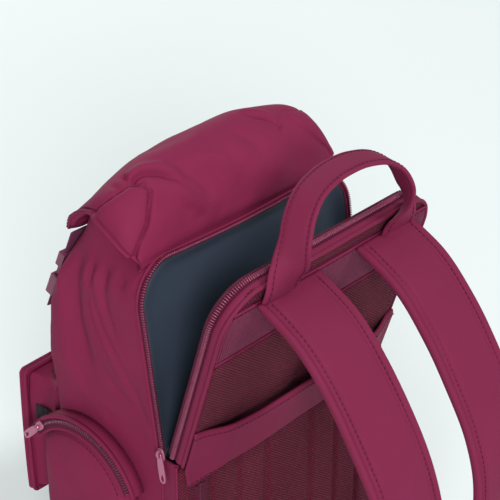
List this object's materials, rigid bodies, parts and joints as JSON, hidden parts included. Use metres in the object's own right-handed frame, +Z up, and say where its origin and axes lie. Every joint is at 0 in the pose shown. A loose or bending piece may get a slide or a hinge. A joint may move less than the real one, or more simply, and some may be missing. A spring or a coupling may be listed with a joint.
{
  "type": "travel backpack",
  "caption": "Soft hooded travel backpack with a back panel that unzips for a laptop, padded shoulder straps, carry handle, luggage band, side and front pockets.",
  "frame": {"origin": "middle of the base's underside", "axes": "+Z up; -Y towards the front pocket; +Y towards the wearer's back; +X to the wearer's right"},
  "size_m": [0.3086, 0.3902, 0.483],
  "materials": {
    "shell_fabric": "woven, puffed",
    "strap_fabric": "smooth knit over foam",
    "back_mesh": "spacer mesh",
    "knit_yoke": "ribbed knit",
    "binding": "grosgrain binding",
    "lining": "padded lining",
    "zip_tape": "coil zip on woven tape",
    "webbing": "woven webbing",
    "elastic": "woven elastic",
    "buckle_plastic": "moulded",
    "zip_metal": "lacquered",
    "stiffener": "sheet"
  },
  "bodies": {
    "shell": {"base_panel": "shell_fabric", "base_board": "stiffener", "front_panel": "shell_fabric", "side_panel_right": "shell_fabric", "side_panel_left": "shell_fabric", "divider_pad": "lining", "mouth_collar": "shell_fabric", "lower_back_pad": "back_mesh", "zip_gusset_right": "strap_fabric", "zip_gusset_left": "strap_fabric", "back_pocket_zip": "zip_tape", "corner_wing_right": "shell_fabric", "corner_wing_left": "shell_fabric", "laptop_zip_tape_bag": "zip_tape", "crown_panel": "shell_fabric", "crown_cheek_right": "shell_fabric", "crown_cheek_left": "shell_fabric", "front_pocket": "shell_fabric", "front_pocket_panel": "shell_fabric", "pocket_elastics": "elastic", "front_zip_tape": "zip_tape", "side_pocket_right": "shell_fabric", "side_pocket_left": "shell_fabric", "side_zip_right": "zip_tape", "side_zip_left": "zip_tape", "buckle_socket_right": "buckle_plastic", "buckle_socket_left": "buckle_plastic", "front_webbing": "webbing"},
    "back_panel": {"upper_back_pad": "back_mesh", "knit_yoke": "knit_yoke", "top_binding": "binding", "back_board": "stiffener", "back_lining": "lining", "laptop_zip_tape_panel": "zip_tape", "luggage_band": "strap_fabric"},
    "handle": {"carry_handle": "strap_fabric"},
    "hood": {"hood_panel": "shell_fabric", "hood_cheek_right": "shell_fabric", "hood_cheek_left": "shell_fabric", "hood_hem": "strap_fabric", "hood_webbing": "webbing"},
    "front_slider": {"front_slider": "zip_metal"},
    "front_pull": {"front_pull": "zip_metal"},
    "shoulder_strap_right": {"shoulder_strap_right": "strap_fabric", "ladder_lock_right": "buckle_plastic"},
    "strap_webbing_right": {"strap_webbing_right": "webbing"},
    "buckle_tongue_right": {"buckle_tongue_right": "buckle_plastic"},
    "laptop_slider_right": {"laptop_slider_right": "zip_metal"},
    "laptop_pull_right": {"laptop_pull_right": "zip_metal"},
    "side_slider_right": {"side_slider_right": "zip_metal"},
    "side_pull_right": {"side_pull_right": "zip_metal"},
    "shoulder_strap_left": {"shoulder_strap_left": "strap_fabric", "ladder_lock_left": "buckle_plastic"},
    "strap_webbing_left": {"strap_webbing_left": "webbing"},
    "buckle_tongue_left": {"buckle_tongue_left": "buckle_plastic"},
    "laptop_slider_left": {"laptop_slider_left": "zip_metal"},
    "laptop_pull_left": {"laptop_pull_left": "zip_metal"},
    "side_slider_left": {"side_slider_left": "zip_metal"},
    "side_pull_left": {"side_pull_left": "zip_metal"}
  },
  "joints": [
    {"name": "back_panel_hinge", "type": "hinge", "parent": "shell", "child": "back_panel", "pos_m": [0, 0.068, 0.238], "axis": [-1, 0, 0], "range_deg": [-25, 0]},
    {"name": "hood_hinge", "type": "hinge", "parent": "shell", "child": "hood", "pos_m": [0, -0.024, 0.474], "axis": [-1, 0, 0], "range_deg": [0, 100]},
    {"name": "handle_hinge", "type": "hinge", "parent": "back_panel", "child": "handle", "pos_m": [0, 0.12652, 0.40206], "axis": [-1, 0, 0], "range_deg": [-2, 35]},
    {"name": "strap_right_seam", "type": "hinge", "parent": "back_panel", "child": "shoulder_strap_right", "pos_m": [0.061, 0.122, 0.397], "axis": [-1, 0, 0], "range_deg": [0, 14.8]},
    {"name": "strap_webbing_right_foot", "type": "hinge", "parent": "shell", "child": "strap_webbing_right", "pos_m": [0.112, 0.082, 0.03], "axis": [-1, 0, 0], "range_deg": [-15, 0]},
    {"name": "laptop_zip_right_slide", "type": "slide", "parent": "shell", "child": "laptop_slider_right", "axis": [0, -0.1392, 0.9903], "range_m": [0, 0.1255]},
    {"name": "laptop_pull_right_swing", "type": "hinge", "parent": "laptop_slider_right", "child": "laptop_pull_right", "pos_m": [0.136, 0.04976, 0.24564], "axis": [0, -0.9903, -0.1392], "range_deg": [0, 170]},
    {"name": "side_zip_right_travel", "type": "hinge", "parent": "shell", "child": "side_slider_right", "pos_m": [0.146, -0.04, 0.169], "axis": [-1, 0, 0], "range_deg": [0, 101]},
    {"name": "side_pull_right_swing", "type": "hinge", "parent": "side_slider_right", "child": "side_pull_right", "pos_m": [0.15, -0.08664, 0.21571], "axis": [0, -0.6947, 0.7193], "range_deg": [0, 170]},
    {"name": "buckle_right_latch", "type": "slide", "parent": "hood", "child": "buckle_tongue_right", "axis": [0, -0.4067, -0.9135], "range_m": [0, 0.012]},
    {"name": "strap_left_seam", "type": "hinge", "parent": "back_panel", "child": "shoulder_strap_left", "pos_m": [-0.061, 0.122, 0.397], "axis": [-1, 0, 0], "range_deg": [0, 14.8]},
    {"name": "strap_webbing_left_foot", "type": "hinge", "parent": "shell", "child": "strap_webbing_left", "pos_m": [-0.112, 0.082, 0.03], "axis": [-1, 0, 0], "range_deg": [-15, 0]},
    {"name": "laptop_zip_left_slide", "type": "slide", "parent": "shell", "child": "laptop_slider_left", "axis": [0, -0.1392, 0.9903], "range_m": [0, 0.1255]},
    {"name": "laptop_pull_left_swing", "type": "hinge", "parent": "laptop_slider_left", "child": "laptop_pull_left", "pos_m": [-0.136, 0.04976, 0.24564], "axis": [0, 0.9903, 0.1392], "range_deg": [0, 170]},
    {"name": "side_zip_left_travel", "type": "hinge", "parent": "shell", "child": "side_slider_left", "pos_m": [-0.146, -0.04, 0.169], "axis": [-1, 0, 0], "range_deg": [0, 101]},
    {"name": "side_pull_left_swing", "type": "hinge", "parent": "side_slider_left", "child": "side_pull_left", "pos_m": [-0.15, -0.08664, 0.21571], "axis": [0, 0.6947, -0.7193], "range_deg": [0, 170]},
    {"name": "buckle_left_latch", "type": "slide", "parent": "hood", "child": "buckle_tongue_left", "axis": [0, -0.4067, -0.9135], "range_m": [0, 0.012]},
    {"name": "front_zip_slide", "type": "slide", "parent": "shell", "child": "front_slider", "axis": [-1, 0, 0], "range_m": [0, 0.2]},
    {"name": "front_pull_swing", "type": "hinge", "parent": "front_slider", "child": "front_pull", "pos_m": [0.1011, -0.106, 0.2468], "axis": [0, 1, 0], "range_deg": [0, 170]}
  ],
  "couplings": [
    {"joint": "strap_right_seam", "follows": "back_panel_hinge", "ratio": -0.589},
    {"joint": "strap_webbing_right_foot", "follows": "back_panel_hinge", "ratio": 0.596},
    {"joint": "laptop_zip_right_slide", "follows": "back_panel_hinge", "m_per_rad": -0.28648},
    {"joint": "strap_left_seam", "follows": "back_panel_hinge", "ratio": -0.589},
    {"joint": "strap_webbing_left_foot", "follows": "back_panel_hinge", "ratio": 0.596},
    {"joint": "laptop_zip_left_slide", "follows": "back_panel_hinge", "m_per_rad": -0.28648}
  ]
}
